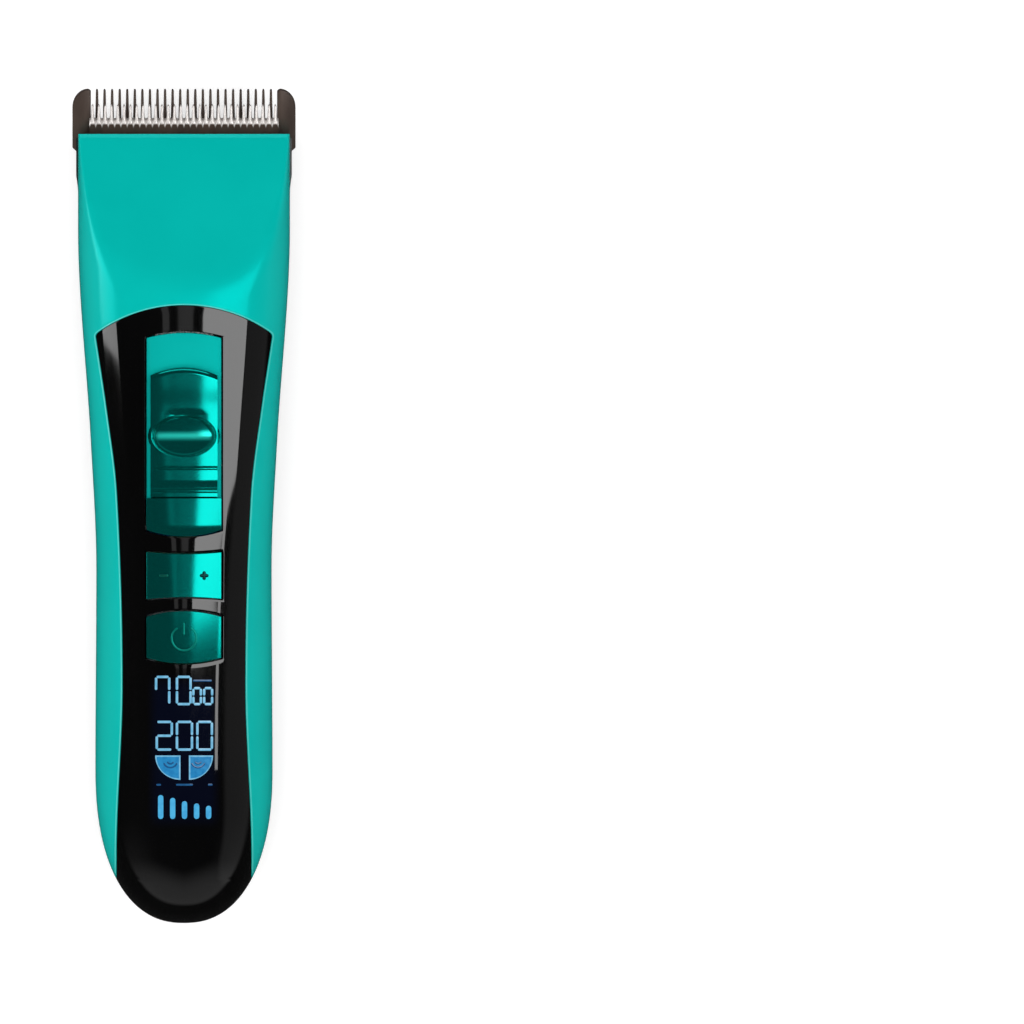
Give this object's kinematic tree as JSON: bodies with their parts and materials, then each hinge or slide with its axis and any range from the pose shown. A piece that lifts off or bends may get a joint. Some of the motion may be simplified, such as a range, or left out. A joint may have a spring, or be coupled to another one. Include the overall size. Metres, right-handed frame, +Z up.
{
  "type": "hair clipper",
  "caption": "Cordless hair clipper with a toothed blade set, taper slider, rocker, power button and lit display, lying display up.",
  "frame": {"origin": "Centre of the underside: the point of the rest plane below the middle of the clipper's length and width.", "axes": "+X to the right across the clipper, +Y from the tail to the blade tips, +Z up from the rest face to the display."},
  "size_m": [0.0476, 0.178, 0.04],
  "materials": {
    "teal_housing": "satin moulded",
    "black_housing": "fine satin moulded",
    "gloss_panel": "high gloss",
    "metallic_teal": "metallic lacquer",
    "dark_blade_steel": "dark coated",
    "ground_blade_steel": "ground",
    "plain_steel": "plated",
    "white_acetal": "moulded",
    "board_green": "solder mask",
    "battery_wrap": "shrink wrap",
    "grey_silicone": "matt",
    "display_glass": "smoked"
  },
  "bodies": {
    "housing": {"front_housing": "teal_housing", "slider_track": "teal_housing", "rear_housing": "black_housing", "motor_mount": "black_housing", "motor_cap": "black_housing", "inlet_tongue": "black_housing", "front_panel": "gloss_panel", "housing_screw_tail_left": "plain_steel", "housing_screw_tail_right": "plain_steel", "housing_screw_neck_left": "plain_steel", "housing_screw_neck_right": "plain_steel", "detent_spring": "plain_steel", "lever_pin": "plain_steel", "motor_can": "plain_steel", "motor_screw_left": "plain_steel", "motor_screw_right": "plain_steel", "battery_tab_front": "plain_steel", "battery_tab_back": "plain_steel", "inlet_shell": "plain_steel", "tact_switch_minus": "plain_steel", "tact_switch_plus": "plain_steel", "tact_switch_power": "plain_steel", "circuit_board": "board_green", "inlet_board": "board_green", "battery_cell": "battery_wrap", "button_pad": "grey_silicone", "display_module": "display_glass"},
    "slider": {"taper_slider": "metallic_teal", "slider_carriage": "white_acetal"},
    "lever": {"adjust_lever": "white_acetal"},
    "link": {"adjust_link": "white_acetal"},
    "blade_set": {"fixed_blade": "dark_blade_steel", "blade_base": "black_housing", "blade_screw_left": "plain_steel", "blade_screw_right": "plain_steel"},
    "carriage": {"blade_carriage": "white_acetal", "blade_spring": "plain_steel"},
    "cutter": {"moving_blade": "ground_blade_steel", "drive_yoke": "white_acetal"},
    "rotor": {"motor_shaft": "plain_steel", "eccentric_cam": "white_acetal"},
    "rocker": {"speed_rocker": "metallic_teal"},
    "power": {"power_button": "metallic_teal"}
  },
  "joints": [
    {"name": "taper_slide", "type": "slide", "parent": "housing", "child": "slider", "axis": [0, 1, 0], "range_m": [0, 0.007]},
    {"name": "lever_turn", "type": "hinge", "parent": "housing", "child": "lever", "pos_m": [0.004, 0.0095, 0.01], "axis": [-1, 0, 0], "range_deg": [0, 22.26]},
    {"name": "link_slide", "type": "slide", "parent": "housing", "child": "link", "axis": [0, 1, 0], "range_m": [0, 0.0012]},
    {"name": "blade_set_hinge", "type": "hinge", "parent": "housing", "child": "blade_set", "pos_m": [0, 0.05624, 0.00709], "axis": [-1, 0, 0], "range_deg": [0, 40]},
    {"name": "carriage_slide", "type": "slide", "parent": "blade_set", "child": "carriage", "axis": [0, 0.9397, 0.342], "range_m": [0, 0.0012]},
    {"name": "cutter_slide", "type": "slide", "parent": "carriage", "child": "cutter", "axis": [1, 0, 0], "range_m": [-0.0009, 0.0009]},
    {"name": "motor_spin", "type": "hinge", "parent": "housing", "child": "rotor", "pos_m": [0, 0.05, 0.0215], "axis": [0, 1, 0], "continuous": true},
    {"name": "rocker_tilt", "type": "hinge", "parent": "housing", "child": "rocker", "pos_m": [0, -0.0149, 0.033], "axis": [0, 1, 0], "range_deg": [-3, 3], "stiffness_Nm_per_rad": 0.2},
    {"name": "power_press", "type": "slide", "parent": "housing", "child": "power", "axis": [0, 0, -1], "range_m": [0, 0.0008], "stiffness_N_per_m": 1500}
  ],
  "couplings": [
    {"joint": "lever_turn", "follows": "taper_slide", "rad_per_m": 55.387},
    {"joint": "link_slide", "follows": "taper_slide", "ratio": 0.17143},
    {"joint": "carriage_slide", "follows": "taper_slide", "ratio": 0.17143}
  ]
}
